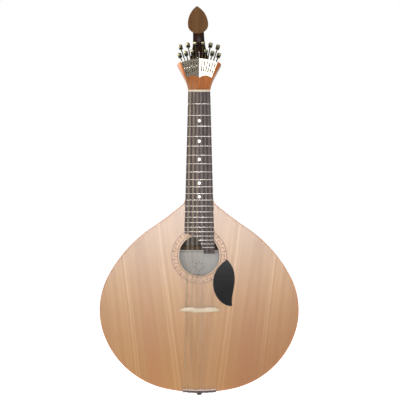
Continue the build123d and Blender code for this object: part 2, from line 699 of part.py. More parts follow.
def make_bridge():
    body = slab(bridge_plan(), -20, 0) & (Pos(0, 0, -20) * extrude(bridge_front(), amount=40))
    waste = Pos(0, -10, -15) * Box(2 * BRIDGE_LENGTH, 20, 30)
    body -= Pos(0, -BRIDGE_H, -BRIDGE_CREST_W) * Rot(BRIDGE_SLOPE, 0, 0) * waste
    add("bridge", Pos(BRIDGE_X, 0, BRIDGE_Z) * body)


def string_x_bridge(number):
    return BRIDGE_X + string_x(number, BRIDGE_COURSE_STEP, PAIR_GAP_BRIDGE)


def make_pickguard():
    """A leaf: an arc round the rosette, a full outer flank with a slight waist, and a tip."""
    inner = RadiusArc(PICKGUARD_START, PICKGUARD_TIP, ROSETTE_R_OUT + PICKGUARD_GAP)
    outer = Spline([PICKGUARD_TIP] + PICKGUARD_OUTER)
    end = ThreePointArc(PICKGUARD_OUTER[-1], PICKGUARD_FOOT, PICKGUARD_INNER[0])
    flank = Spline(PICKGUARD_INNER + [PICKGUARD_START])
    add("pickguard", slab(make_face([inner, outer, end, flank]), -PICKGUARD_T, 0))


# ---------------------------------------------------------------- tail

def tail_band(outside, inside, front, back):
    """A strip along the body's tail edge, between two insets and two depths."""
    band = slab(body_face(outside) - body_face(inside), front, back)
    return band & box_between(-TAIL_HALF_W, front, -20, TAIL_HALF_W, back, 60)


def make_tail():
    plate = tail_band(-TAILPIECE_T, 0, -TAILPIECE_T, TAILPIECE_DEPTH)
    plate += tail_band(-TAILPIECE_T, TAIL_LIP_W, -TAILPIECE_T, 0)
    add("tail_saddle", tail_band(TAIL_LIP_W, TAIL_LIP_W + SADDLE_W, -SADDLE_H, 0))
    for number in range(12):
        seat = tail_seat(string_x_tail(number), PIN_ROWS[number % 2])
        plate += seat * tail_pin()

    screws = []
    holes = Part()
    head = Pos(0, 0, -TAIL_SCREW_HEAD_T / 2) * Cylinder(TAIL_SCREW_HEAD_R, TAIL_SCREW_HEAD_T)
    head -= Pos(0, 0, -TAIL_SCREW_HEAD_T) * Box(6, 0.7, 1)
    middle = TAIL_SCREW_L / 2
    for x, y in TAIL_SCREWS:
        seat = tail_seat(x, y)
        screws.append(seat * (head + Pos(0, 0, middle) * Cylinder(TAIL_SCREW_R, TAIL_SCREW_L)))
        holes += seat * Pos(0, 0, middle) * Cylinder(TAIL_SCREW_R, TAIL_SCREW_L + 2)
    add("tailpiece_screws", *screws)

    button = end_button()
    add("end_button", button)
    add("tailpiece", plate - button - holes)
    holes += button
    for name in ["side_bass", "side_treble", "tail_block"]:
        add(name, *[solid - holes for solid in NODES[name]])


def tail_pin():
    """A headed pin that stands out of the tailpiece, for a string's loop."""
    shank = Pos(0, 0, PIN_SINK - PIN_L / 2) * Cylinder(PIN_R, PIN_L)
    return shank + Pos(0, 0, PIN_SINK - PIN_L) * Cylinder(PIN_HEAD_R, PIN_HEAD_T)


def end_button():
    """A turned button on a tapered peg: a neck, a rim and a shallow dome."""
    rim_top = BUTTON_RIM_Z + BUTTON_RIM_H / 2
    rim_low = BUTTON_RIM_Z - BUTTON_RIM_H / 2
    tip = rim_low - BUTTON_DOME_H
    half = make_face(Curve() + [
        Polyline((0, BUTTON_PEG_L), (BUTTON_PEG_R, BUTTON_PEG_L), (3.0, -TAILPIECE_T),
                 (BUTTON_NECK_R, -TAILPIECE_T), (BUTTON_NECK_R, rim_top), (BUTTON_R, rim_top),
                 (BUTTON_R, rim_low)),
        ThreePointArc((BUTTON_R, rim_low), (0.7 * BUTTON_R, rim_low - 0.72 * BUTTON_DOME_H), (1.5, tip)),
        Polyline((1.5, tip), (0, tip), (0, BUTTON_PEG_L))])
    return Pos(0, BUTTON_Y, 0) * revolve(Plane.XZ * half, Axis.Z)


def tail_rise(x):
    """How far the curved tail edge has risen at a distance from the centre line."""
    radius = BODY_ARCS[0][0]
    return radius - math.sqrt(radius ** 2 - x ** 2)


def tail_seat(x, y):
    """A place on the tailpiece's outer face, with Z pointing into the body."""
    return Pos(x, y, tail_rise(x) - TAILPIECE_T) * Rot(0, -math.degrees(x / BODY_ARCS[0][0]), 0)


def string_x_tail(number):
    return string_x(number, TAIL_COURSE_STEP, PAIR_GAP_TAIL)


# ---------------------------------------------------------------- strings

def string_path(number):
    """From the tail pin, over the tail edge, saddle, bridge and nut, to the tuner's hook."""
    radius = string_radius(number)
    side, index = TUNER_ORDER[number]
    tail_x = string_x_tail(number)
    bridge_x = string_x_bridge(number)
    nut_x = string_x_nut(number)
    edge_z = tail_rise(tail_x) - TAILPIECE_T - radius - 0.1
    hook_end = fan_place(side, index, HOOK_REST_R[index] - 2.2, 1.0).position
    corners = [(tail_x, PIN_ROWS[number % 2] - 1.6 - radius, edge_z - 0.4),
               (tail_x, -1.6 - radius, edge_z),
               (tail_x, -SADDLE_H - radius, tail_rise(tail_x) + 4.6),
               (bridge_x, -bridge_top(bridge_x), BRIDGE_Z),
               (nut_x, string_y_nut(nut_x), NUT_Z + NUT_T / 2),
               (hook_end.X, hook_end.Y, hook_end.Z)]
    return [Vector(*corner) for corner in corners]


def make_strings():
    groups = {"wound_strings": range(0, 6), "plain_strings": range(6, 12)}
    for name, numbers in groups.items():
        solids = []
        for number in numbers:
            path = FilletPolyline(*string_path(number), radius=STRING_BENDS)
            start = Plane(origin=path @ 0, z_dir=path % 0)
            solids += sweep(start * Circle(string_radius(number)), path=path).solids()
        add(name, *solids)
        for support in ["nut", "bridge", "tail_saddle"]:
            add(support, *[solid - solids for solid in NODES[support]])


# ---------------------------------------------------------------- the whole instrument

def make_all():
    make_braces(make_body())
    make_fingerboard()
    make_neck()
    make_tuner_plate()
    make_head()
    make_tuners()
    make_stem()
    make_bridge()
    make_pickguard()
    make_tail()
    make_strings()


make_all()
TO_ORIGIN = Pos(0, -BUTTON_Y, -BUTTON_RIM_Z)
os.makedirs("parts", exist_ok=True)
for name, solids in NODES.items():
    placed = [TO_ORIGIN * solid for solid in solids]
    shape = placed[0] if len(placed) == 1 else Compound(children=placed)
    export_step(shape, f"parts/{name}.step")
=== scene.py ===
import json
import math

import bmesh
import bpy
from mathutils import Matrix, Vector


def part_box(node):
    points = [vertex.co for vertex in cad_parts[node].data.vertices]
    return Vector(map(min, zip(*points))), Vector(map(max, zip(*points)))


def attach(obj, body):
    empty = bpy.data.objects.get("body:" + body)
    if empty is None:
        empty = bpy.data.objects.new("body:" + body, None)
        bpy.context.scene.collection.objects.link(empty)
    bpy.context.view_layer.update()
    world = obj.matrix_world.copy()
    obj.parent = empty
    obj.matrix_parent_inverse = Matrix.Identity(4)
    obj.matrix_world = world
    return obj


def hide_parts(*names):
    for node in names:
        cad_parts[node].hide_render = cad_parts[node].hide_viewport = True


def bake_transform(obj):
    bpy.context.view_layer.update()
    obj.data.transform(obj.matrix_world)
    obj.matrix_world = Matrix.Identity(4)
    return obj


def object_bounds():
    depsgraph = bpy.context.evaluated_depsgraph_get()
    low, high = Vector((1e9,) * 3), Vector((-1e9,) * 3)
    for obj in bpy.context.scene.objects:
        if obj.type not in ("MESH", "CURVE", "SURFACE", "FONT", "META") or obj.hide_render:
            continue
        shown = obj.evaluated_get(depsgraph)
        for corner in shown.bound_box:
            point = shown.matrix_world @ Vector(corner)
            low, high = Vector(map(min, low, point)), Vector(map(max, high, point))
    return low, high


# A Portuguese guitar of the Coimbra kind. Metres, +Z up the neck, +X to the treble side, and the
# soundboard faces -Y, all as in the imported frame.

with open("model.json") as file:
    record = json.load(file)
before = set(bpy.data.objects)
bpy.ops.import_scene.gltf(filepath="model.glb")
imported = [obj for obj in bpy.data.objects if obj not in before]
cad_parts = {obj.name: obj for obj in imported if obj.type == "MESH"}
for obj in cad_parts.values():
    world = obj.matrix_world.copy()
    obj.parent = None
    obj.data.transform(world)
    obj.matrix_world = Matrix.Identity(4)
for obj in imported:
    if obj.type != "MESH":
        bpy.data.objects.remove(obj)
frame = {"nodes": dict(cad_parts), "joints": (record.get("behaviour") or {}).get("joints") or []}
cad_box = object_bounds()
nodes = frame["nodes"]
joints = {joint["name"]: joint for joint in frame["joints"]}

FRONT_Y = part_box("soundboard_bass_half")[0].y
TAIL_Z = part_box("bindings")[0].z
HEAD_TILT = math.radians(12)
HEAD_NORMAL = Vector((0.0, -math.cos(HEAD_TILT), math.sin(HEAD_TILT)))
FACE_LEVEL = HEAD_NORMAL.dot((0.0, FRONT_Y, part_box("nut")[1].z))   # the head's face along it
ROSETTE_LOW, ROSETTE_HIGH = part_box("rosette")
HOLE_CENTRE = (ROSETTE_LOW + ROSETTE_HIGH) / 2


# ---------------------------------------------------------------- shader helpers

def srgb(red, green, blue):
    """A colour given as eyes see it, from 0 to 255, as the linear value that shaders take."""
    def linear(value):
        value /= 255
        return value / 12.92 if value <= 0.04045 else ((value + 0.055) / 1.055) ** 2.4
    return (linear(red), linear(green), linear(blue), 1.0)


class Shade:
    """One material: its Principled shader, and short calls for the nodes that feed it."""

    def __init__(self, name, **sockets):
        self.material = bpy.data.materials.new(name)
        self.material.use_nodes = True
        self.tree = self.material.node_tree
        self.shader = self.tree.nodes["Principled BSDF"]
        place = self.tree.nodes.new("ShaderNodeTexCoord")
        self.coords, self.normal = place.outputs["Object"], place.outputs["Normal"]
        for socket, value in sockets.items():
            self.set(socket.replace("_", " "), value)

    def set(self, socket, value):
        for entry in self.shader.inputs:
            if entry.name.lower() == socket.lower():
                self.feed(entry, value)
                return
        raise KeyError(socket)

    def feed(self, entry, value):
        if isinstance(value, bpy.types.NodeSocket):
            self.tree.links.new(value, entry)
        else:
            entry.default_value = value

    def add(self, kind, *values, **settings):
        """A node of a kind, with its first inputs in order; the node itself."""
        made = self.tree.nodes.new("ShaderNode" + kind)
        for key, value in settings.items():
            setattr(made, key, value)
        for entry, value in zip(made.inputs, values):
            if value is not None:
                self.feed(entry, value)
        return made

    def math(self, operation, *values):
        return self.add("Math", *values, operation=operation).outputs[0]

    def plus(self, first, second):
        return self.math("ADD", first, second)

    def minus(self, first, second):
        return self.math("SUBTRACT", first, second)

    def times(self, first, second):
        return self.math("MULTIPLY", first, second)

    def length(self, across, up):
        """How far a place is from the origin of two axes."""
        return self.math("SQRT", self.plus(self.times(across, across), self.times(up, up)))

    def axes(self, coords=None):
        return self.add("SeparateXYZ", coords or self.coords).outputs

    def vector(self, x, y, z):
        return self.add("CombineXYZ", x, y, z).outputs[0]

    def scaled(self, scale, coords=None):
        return self.add("VectorMath", coords or self.coords, scale, operation="MULTIPLY").outputs[0]

    def noise(self, coords, scale, detail=4.0, roughness=0.55, distortion=0.0):
        made = self.add("TexNoise")
        for name, value in [("Vector", coords), ("Scale", scale), ("Detail", detail),
                            ("Roughness", roughness), ("Distortion", distortion)]:
            self.feed(made.inputs[name], value)
        return made.outputs["Fac"]

    def span(self, value, low, high, to_low=0.0, to_high=1.0, smooth=False):
        """A value's place between two levels, held at the ends."""
        made = self.add("MapRange", value, low, high, to_low, to_high, clamp=True)
        made.interpolation_type = "SMOOTHSTEP" if smooth else "LINEAR"
        return made.outputs[0]

    def mix(self, share, first, second):
        made = self.tree.nodes.new("ShaderNodeMix")
        made.data_type = "RGBA"
        for entry, value in [(made.inputs[0], share), (made.inputs[6], first),
                             (made.inputs[7], second)]:
            self.feed(entry, value)
        return made.outputs[2]

    def bump(self, height, strength, distance):
        made = self.tree.nodes.new("ShaderNodeBump")
        for name, value in [("Height", height), ("Strength", strength), ("Distance", distance)]:
            self.feed(made.inputs[name], value)
        self.set("Normal", made.outputs[0])


# ---------------------------------------------------------------- woods

WOOD_FIGURE = 22.0                   # noise scale of a wood's broad figure
GRAIN_STRETCH = 0.03                 # along the grain, against across it
# The plank's flame: its distance from the seam at the tail, how it leans, and how fast it closes.
FLAME_X = 0.098
FLAME_LEAN = 0.12
FLAME_CLOSING = 0.00072
FLAME_SIDE = 0.2                     # how much closer the rings are on the flame's outer side
SEAM_SWAY = 0.006
SEAM_W = 0.0006
STRIP_W = 0.017                      # a darker strip beside the seam, on the treble half
# Each knot's distance from the seam, height above the tail, and radius.
KNOTS = [(0.184, 0.119, 0.0035), (0.171, 0.121, 0.0025), (0.158, 0.188, 0.0025)]
KNOT_STRETCH = 0.55


def wood(name, light, dark, pore, roughness=0.4, grain=900.0, mirrored=False, pore_share=0.35,
         bump=0.12, **sockets):
    """Straight-grained wood with its grain along Z: broad figure, fine lines and open pores."""
    shade = Shade(name, **sockets)
    x, y, z = shade.axes()
    if mirrored:
        x = shade.math("ABSOLUTE", x)
    coords = shade.vector(x, y, z)
    broad = shade.noise(shade.scaled((1, 1, GRAIN_STRETCH), coords), WOOD_FIGURE, 3.0, 0.5, 0.4)
    lines = shade.noise(shade.scaled((1, 1, GRAIN_STRETCH * 0.35), coords), grain * 0.35, 3.0, 0.6)
    pores = shade.noise(shade.scaled((1, 1, GRAIN_STRETCH * 1.2), coords), grain, 2.0, 0.5)
    tone = shade.plus(shade.times(broad, 0.62), shade.times(lines, 0.38))
    colour = shade.mix(shade.span(tone, 0.36, 0.64), light, dark)
    pits = shade.span(pores, 0.60, 0.74)
    shade.colour = shade.mix(shade.times(pits, pore_share), colour, pore)
    shade.set("Base Color", shade.colour)
    shade.set("Roughness", shade.span(lines, 0.3, 0.7, roughness - 0.05, roughness + 0.08))
    shade.bump(shade.minus(lines, pits), bump, 0.0002)
    return shade


def soundboard_wood():
    """Bookmatched wood: both halves mirror one plank, whose grain closes round a reddish flame."""
    shade = Shade("soundboard_wood", specular_ior_level=0.3, coat_weight=1.0, coat_roughness=0.24)
    x, y, z = shade.axes()
    up = shade.minus(z, TAIL_Z)
    sway = shade.noise(shade.vector(0.0, 0.0, z), 5.0, 2.0)
    across = shade.plus(shade.math("ABSOLUTE", x), shade.times(sway, SEAM_SWAY))
    ring = flame_rings(shade, across, up)
    coords = shade.vector(ring, y, z)
    lines = shade.noise(shade.scaled((1, 1, 0.006), coords), 420.0, 3.0, 0.62)
    bands = shade.noise(shade.scaled((1, 1, 0.010), coords), 70.0, 3.0, 0.6)
    blotch = shade.noise(shade.scaled((1, 1, 0.25), coords), 9.0, 3.0, 0.5)
    tone = shade.plus(shade.times(bands, 0.5), shade.times(lines, 0.35))
    tone = shade.plus(tone, shade.times(blotch, 0.15))
    colour = shade.mix(shade.span(tone, 0.38, 0.62), srgb(188, 138, 76), srgb(164, 111, 47))

    # Thin pale streaks a little way out from the flame.
    streaks = shade.noise(shade.scaled((1, 1, 0.004), coords), 170.0, 2.0, 0.5)
    streaks = shade.span(streaks, 0.60, 0.66)
    beside = shade.times(shade.span(ring, 0.010, 0.020), shade.span(ring, 0.060, 0.045))
    streaks = shade.times(shade.times(streaks, beside), 0.55)
    colour = shade.mix(streaks, colour, srgb(218, 176, 122))
    heart = shade.span(ring, 0.022, 0.008, smooth=True)
    low = shade.span(up, 0.31, 0.10, smooth=True)
    heart = shade.times(shade.times(heart, low), 0.6)
    colour = shade.mix(heart, colour, srgb(160, 92, 34))

    for knot in KNOTS:
        colour = shade.mix(knot_curl(shade, across, up, *knot), colour, srgb(150, 88, 44))
    seam = shade.span(shade.math("ABSOLUTE", x), SEAM_W, SEAM_W / 3)
    colour = shade.mix(shade.times(seam, 0.35), colour, srgb(120, 80, 52))
    strip = shade.times(shade.span(x, 0.0, 0.001), shade.span(x, STRIP_W, 0.009, smooth=True))
    colour = shade.mix(shade.times(strip, 0.3), colour, srgb(142, 96, 54))
    # The colour takes painted shade: darker towards the tail, browner low on the treble side, duller
    # at the shoulders.
    shade.set("Base Color", painted_shading(shade, x, up, colour))
    shade.set("Roughness", shade.span(lines, 0.3, 0.7, 0.32, 0.42))
    shade.bump(lines, 0.10, 0.0001)
    return shade


def flame_rings(shade, across, up):
    """A measure that is the same along each growth line: straight far from the flame, and
    closing over it towards the neck."""
    axis = shade.plus(FLAME_X, shade.times(up, FLAME_LEAN))
    off_axis = shade.minus(across, axis)
    closing = shade.times(shade.math("MAXIMUM", up, 0.0), FLAME_CLOSING)
    ring = shade.math("SQRT", shade.plus(shade.times(off_axis, off_axis), closing))
    return shade.plus(ring, shade.times(off_axis, FLAME_SIDE))


def knot_curl(shade, across, up, knot_x, knot_up, size):
    """The share of colour in a small curl, open on its outer side."""
    sideways = shade.minus(across, knot_x)
    upwards = shade.times(shade.minus(up, knot_up), KNOT_STRETCH)
    gap = shade.math("ABSOLUTE", shade.minus(shade.length(sideways, upwards), size))
    curl = shade.times(shade.span(gap, size * 0.8, 0.0), shade.span(sideways, size, -size))
    return shade.times(curl, 0.5)


def painted_shading(shade, x, up, colour):
    """Painted shade: darker and more golden towards the tail, browner low on the treble side where
    less light falls, and duller and greyer at the shoulders.
    """
    tailward = shade.span(up, 0.0, 0.34, 0.5, 0.0, smooth=True)
    colour = shade.mix(tailward, colour, srgb(164, 106, 28))
    # Painted shade low on the treble side, away from the light.
    treble = shade.times(shade.span(x, 0.01, 0.12), shade.span(up, 0.26, 0.04))
    colour = shade.mix(shade.times(treble, 0.6), colour, srgb(148, 85, 20))
    return shade.mix(shade.span(up, 0.22, 0.40, 0.0, 0.45), colour, srgb(142, 104, 80))


def make_woods():
    """Every wooden node's material."""
    top = soundboard_wood()
    assign(top, "soundboard_bass_half", "soundboard_treble_half")
    assign(wood("binding_wood", srgb(200, 132, 66), srgb(172, 104, 46), srgb(120, 68, 30), 0.5),
           "bindings")
    back = wood("back_wood", srgb(150, 88, 50), srgb(108, 56, 30), srgb(60, 28, 15), 0.3,
                mirrored=True, coat_weight=0.6, coat_roughness=0.12)
    # Inside the box the wood is bare, without lacquer, and its colour is painted dark as the shade
    # that falls inside the box.
    inward = back.axes(back.normal)[1]
    bare_and_shaded = back.span(inward, -0.2, -0.4)
    back.set("Base Color", back.mix(bare_and_shaded, back.colour, srgb(58, 40, 28)))
    back.set("Coat Weight", back.minus(0.6, back.times(bare_and_shaded, 0.6)))
    assign(back, "back_bass_half", "back_treble_half", "side_bass", "side_treble")
    assign(wood("strip_wood", srgb(62, 38, 26), srgb(40, 24, 17), srgb(20, 12, 9), 0.3,
                coat_weight=0.5, coat_roughness=0.15), "back_centre_strip", "heel_cap")
    assign(wood("inner_wood", srgb(206, 170, 128), srgb(180, 142, 100), srgb(140, 100, 66), 0.7),
           "neck_block", "tail_block", "linings", "soundboard_braces")
    assign(wood("brace_wood", srgb(112, 88, 68), srgb(84, 64, 48), srgb(56, 40, 30), 0.8),
           "back_braces")
    assign(wood("neck_wood", srgb(158, 96, 56), srgb(118, 64, 34), srgb(66, 32, 18), 0.3,
                coat_weight=0.5, coat_roughness=0.15), "neck")
    head = wood("head_wood", srgb(206, 128, 70), srgb(172, 98, 50), srgb(104, 52, 24), 0.4,
                grain=700, specular_ior_level=0.12, coat_roughness=0.2, pore_share=0.5)
    # The face is rubbed dull; the bevels and cheeks behind its plane keep their lacquer.
    level = head.add("VectorMath", head.coords, tuple(HEAD_NORMAL), operation="DOT_PRODUCT")
    behind = head.minus(FACE_LEVEL, level.outputs["Value"])
    head.set("Coat Weight", head.span(behind, 0.0003, 0.0012, 0.05, 1.0))
    assign(head, "headstock")
    assign(wood("stem_wood", srgb(54, 27, 17), srgb(30, 14, 9), srgb(14, 7, 5), 0.3,
                specular_ior_level=0.08, coat_weight=0.03, coat_roughness=0.08), "stem")
    assign(wood("finial_wood", srgb(120, 85, 54), srgb(94, 64, 38), srgb(66, 42, 24), 0.7,
                grain=600, specular_ior_level=0.1, pore_share=0.6), "finial")
    assign(wood("fingerboard_wood", srgb(93, 75, 73), srgb(60, 47, 46), srgb(28, 20, 20), 0.42,
                grain=800, pore_share=0.6, bump=0.2, specular_ior_level=0.3), "fingerboard")
    assign(wood("button_wood", srgb(70, 52, 44), srgb(44, 31, 26), srgb(22, 15, 12), 0.25,
                coat_weight=0.6, coat_roughness=0.1), "end_button")


def assign(shade, *names):
    for name in names:
        mesh = nodes[name].data
        mesh.materials.clear()
        mesh.materials.append(shade.material)


# ---------------------------------------------------------------- inlay, bone, metal, paper

ROSETTE_CELLS = 20
ROSETTE_INNER_LINE = 0.0475          # radii from the hole's centre
ROSETTE_OUTER_LINE = (ROSETTE_HIGH.x - ROSETTE_LOW.x) / 2 - 0.0008
ROSETTE_MIDDLE = 0.0535
ROSETTE_LINE_W = 0.0011
STEM_SIDE = -0.0017                  # a cell's hooked stem, across the cell
STEM_W = 0.0009
HOOK_SIDE = 0.0004
HOOK_R = 0.0021
HOOK_W = 0.0008
DIVIDER_W = 0.0010


def rosette_inlay():
    """Eighteen-degree cells between two dark rings, each with a hooked stem, and a pale rim."""
    shade = Shade("rosette_inlay", specular_ior_level=0.3, coat_weight=0.6, coat_roughness=0.24)
    x, _, z = shade.axes()
    x = shade.minus(x, HOLE_CENTRE.x)
    z = shade.minus(z, HOLE_CENTRE.z)
    radius = shade.length(x, z)
    # Each cell's own place across, from its middle, in metres.
    turn = shade.times(shade.math("ARCTAN2", x, z), ROSETTE_CELLS / math.tau)
    place = shade.math("FRACT", shade.plus(turn, 2 * ROSETTE_CELLS + 0.5))
    side = shade.times(shade.minus(place, 0.5), math.tau / ROSETTE_CELLS)
    side = shade.times(side, radius)

    def stroke(value, at, half_width, edge):
        gap = shade.math("ABSOLUTE", shade.minus(value, at))
        return shade.span(gap, half_width, half_width * edge)

    divider = shade.minus(0.5 * math.tau / ROSETTE_CELLS * ROSETTE_MIDDLE,
                          shade.math("ABSOLUTE", side))
    divider = shade.span(divider, DIVIDER_W, DIVIDER_W / 2)
    stem = stroke(side, STEM_SIDE, STEM_W, 0.45)
    stem = shade.times(stem, shade.span(radius, ROSETTE_MIDDLE + 0.0002, ROSETTE_MIDDLE - 0.0002))
    from_hook = shade.length(shade.minus(side, HOOK_SIDE), shade.minus(radius, ROSETTE_MIDDLE))
    hook = stroke(from_hook, HOOK_R, HOOK_W, 0.5)
    hook = shade.times(hook, shade.span(radius, ROSETTE_MIDDLE - 0.0008, ROSETTE_MIDDLE - 0.0002))
    marks = shade.math("MAXIMUM", shade.math("MAXIMUM", stem, hook), divider)
    inside = shade.span(radius, ROSETTE_INNER_LINE, ROSETTE_INNER_LINE + 0.0005)
    outside = shade.span(radius, ROSETTE_OUTER_LINE + 0.0003, ROSETTE_OUTER_LINE - 0.0002)
    marks = shade.times(marks, shade.times(inside, outside))
    for line in [ROSETTE_INNER_LINE, ROSETTE_OUTER_LINE]:
        marks = shade.math("MAXIMUM", marks, stroke(radius, line, ROSETTE_LINE_W, 0.55))

    grain = shade.noise(shade.scaled((1, 1, 0.02)), 500.0, 3.0)
    field = shade.mix(shade.span(grain, 0.35, 0.65), srgb(206, 164, 124), srgb(186, 144, 104))
    ink = shade.mix(grain, srgb(136, 86, 62), srgb(104, 62, 42))
    shade.set("Base Color", shade.mix(marks, field, ink))
    shade.set("Roughness", 0.42)
    shade.bump(shade.minus(grain, marks), 0.08, 0.0001)
    assign(shade, "rosette")


def bone(name, pale, deep, *names):
    """Polished bone: faint streaks along it and small dark pores."""
    shade = Shade(name, subsurface_weight=0.12, subsurface_scale=0.002, coat_weight=0.3,
                  coat_roughness=0.15)
    streaks = shade.noise(shade.scaled((0.15, 1, 1)), 260.0, 3.0)
    cloud = shade.noise(shade.coords, 45.0, 2.0)
    specks = shade.span(shade.noise(shade.scaled((0.4, 1, 1)), 1500.0, 1.0), 0.66, 0.74)
    tone = shade.plus(shade.times(streaks, 0.6), shade.times(cloud, 0.4))
    colour = shade.mix(shade.span(tone, 0.35, 0.65), pale, deep)
    shade.set("Base Color", shade.mix(shade.times(specks, 0.4), colour, srgb(150, 120, 90)))
    shade.set("Roughness", shade.span(streaks, 0.3, 0.7, 0.28, 0.4))
    shade.bump(streaks, 0.05, 0.0001)
    assign(shade, *names)


def metal(name, bright, dull, roughness=0.2, brushed=None, wear=0.5):
    """Plated metal: cloudy tarnish, fine scratches, and brush lines along an axis if asked."""
    shade = Shade(name, metallic=1.0)
    cloud = shade.noise(shade.coords, 180.0, 4.0, 0.6)
    scratch_coords = shade.scaled(brushed or (1, 1, 1))
    scratches = shade.noise(scratch_coords, 1400.0, 2.0, 0.7)
    colour = shade.mix(shade.times(shade.span(cloud, 0.4, 0.7), wear), bright, dull)
    shade.set("Base Color", colour)
    tarnish = shade.span(cloud, 0.3, 0.75, roughness * 0.7, roughness * 1.5)
    shade.set("Roughness", shade.plus(tarnish, shade.times(scratches, 0.08)))
    shade.bump(scratches, 0.05, 0.00005)
    return shade


def pearl():
    """Mother-of-pearl: pale patches that lean to green, pink and blue."""
    shade = Shade("pearl", coat_weight=0.6, coat_roughness=0.05, metallic=0.15)
    patches = shade.noise(shade.coords, 420.0, 3.0, 0.5, 1.5)
    tint = shade.noise(shade.scaled((1, 1, 1.7)), 260.0, 2.0, 0.5, 2.0)
    first = shade.mix(shade.span(patches, 0.4, 0.6), srgb(240, 240, 236), srgb(206, 222, 216))
    shade.set("Base Color", shade.mix(shade.span(tint, 0.45, 0.65), first, srgb(232, 210, 216)))
    shade.set("Roughness", shade.span(patches, 0.3, 0.7, 0.2, 0.35))
    assign(shade, "fret_dots")


def pickguard():
    """Satin black sheet with a fine moulded grain and a few hairline scuffs."""
    shade = Shade("pickguard_black", specular_ior_level=0.14)
    grain = shade.noise(shade.coords, 2600.0, 2.0)
    cloud = shade.noise(shade.coords, 60.0, 3.0)
    scuff = shade.span(shade.noise(shade.scaled((1, 1, 0.05)), 900.0, 2.0), 0.66, 0.72)
    colour = shade.mix(shade.span(cloud, 0.35, 0.65), srgb(12, 12, 14), srgb(18, 18, 20))
    shade.set("Base Color", shade.mix(shade.times(scuff, 0.12), colour, srgb(70, 70, 72)))
    shade.set("Roughness", shade.span(grain, 0.3, 0.7, 0.12, 0.15))
    shade.bump(grain, 0.03, 0.00005)
    assign(shade, "pickguard")


LABEL_FRAMES = [(0.0034, 0.0006), (0.0050, 0.0003)]   # two lines' insets and half widths
FLOWER_R = 0.0085
PETAL_DEPTH = 0.0028
PETALS = 8


def label_paper():
    """A cream paper label with a plain printed frame and a small flower."""
    shade = Shade("label_paper", specular_ior_level=0.2, roughness=0.85)
    low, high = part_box("label")
    centre, half = (low + high) / 2, (high - low) / 2
    x, _, z = shade.axes()
    u = shade.minus(x, centre.x)
    v = shade.minus(z, centre.z)
    edge = shade.math("MINIMUM", shade.minus(half.x, shade.math("ABSOLUTE", u)),
                      shade.minus(half.z, shade.math("ABSOLUTE", v)))
    petals = shade.math("COSINE", shade.times(shade.math("ARCTAN2", u, v), PETALS))
    rim = shade.plus(FLOWER_R, shade.times(petals, PETAL_DEPTH))
    from_rim = shade.math("ABSOLUTE", shade.minus(shade.length(u, v), rim))
    ink = shade.span(from_rim, 0.0009, 0.0005)
    for inset, half_width in LABEL_FRAMES:
        gap = shade.math("ABSOLUTE", shade.minus(edge, inset))
        ink = shade.math("MAXIMUM", ink, shade.span(gap, half_width, half_width / 2))
    fibre = shade.noise(shade.coords, 900.0, 4.0)
    paper = shade.mix(shade.span(fibre, 0.3, 0.7), srgb(250, 248, 243), srgb(240, 236, 229))
    shade.set("Base Color", shade.mix(shade.times(ink, 0.75), paper, srgb(96, 80, 70)))
    shade.bump(fibre, 0.1, 0.0001)
    assign(shade, "label")


def make_finishes():
    """Everything that isn't wood."""
    rosette_inlay()
    bone("bone", srgb(224, 210, 184), srgb(208, 190, 158), "nut", "bridge")
    bone("saddle_bone", srgb(214, 190, 182), srgb(190, 162, 154), "tail_saddle")
    pearl()
    pickguard()
    label_paper()
    nickel = metal("plate_nickel", srgb(218, 210, 196), srgb(176, 166, 146), 0.16)
    assign(nickel, "fan_plate", "centre_spike", "spindle_bearings")
    assign(metal("screw_steel", srgb(206, 204, 198), srgb(150, 146, 136), 0.25),
           "fan_plate_screws", "tailpiece_screws")
    assign(metal("fret_metal", srgb(216, 212, 204), srgb(176, 170, 158), 0.18, (0.02, 1, 1)), "frets")
    # The tailpiece's dark grey is a painted dark reflection on its chromed plate.
    assign(metal("tail_metal", srgb(74, 67, 66), srgb(44, 39, 38), 0.3, (0.02, 1, 1)), "tailpiece")
    hook = metal("hook_steel", srgb(214, 210, 200), srgb(160, 154, 140), 0.2)
    assign(hook, *[f"hook_{number:02d}" for number in range(1, 13)])
    tuner = metal("tuner_nickel", srgb(190, 180, 154), srgb(140, 130, 104), 0.25)
    assign(tuner, *[f"tuner_{number:02d}" for number in range(1, 13)])
    assign(metal("wound_wire", srgb(206, 186, 158), srgb(164, 140, 112), 0.3), "wound_strings")
    assign(metal("plain_wire", srgb(210, 208, 204), srgb(170, 168, 164), 0.2), "plain_strings")


# ---------------------------------------------------------------- tuner screws and knobs

MM = 0.001
FAN_R = 108.0 * MM                   # the fan plate's top edge, where each tuner joint is placed
FAN_FOLD = math.radians(6)
SPINDLE_DEPTH = 4.6 * MM             # spindle axis below the plate's front
SPINDLE_TAIL = -34.0 * MM            # the ends of the threaded part, along a tuner's axis
THREAD_END = -1.6 * MM
THREAD_PITCH = 0.7 * MM
THREAD_CREST = 1.1 * MM
THREAD_ROOT = 0.86 * MM
SHAFT_R = 1.35 * MM
KNOB_REACH = [29.2 * MM, 11.6 * MM]  # a long and a short spindle's knob, past the top edge
KNOB_R = 4.65 * MM
KNOB_L = 11.6 * MM
KNOB_ROUND_R = 2.2 * MM
FLUTES = 30
FLUTE_DEPTH = 0.16 * MM
FLUTED_LEVELS = range(5, 8)
COLLAR, BAND, CAP = 1, 2, 3          # a tuner's material slots; its screw is slot 0
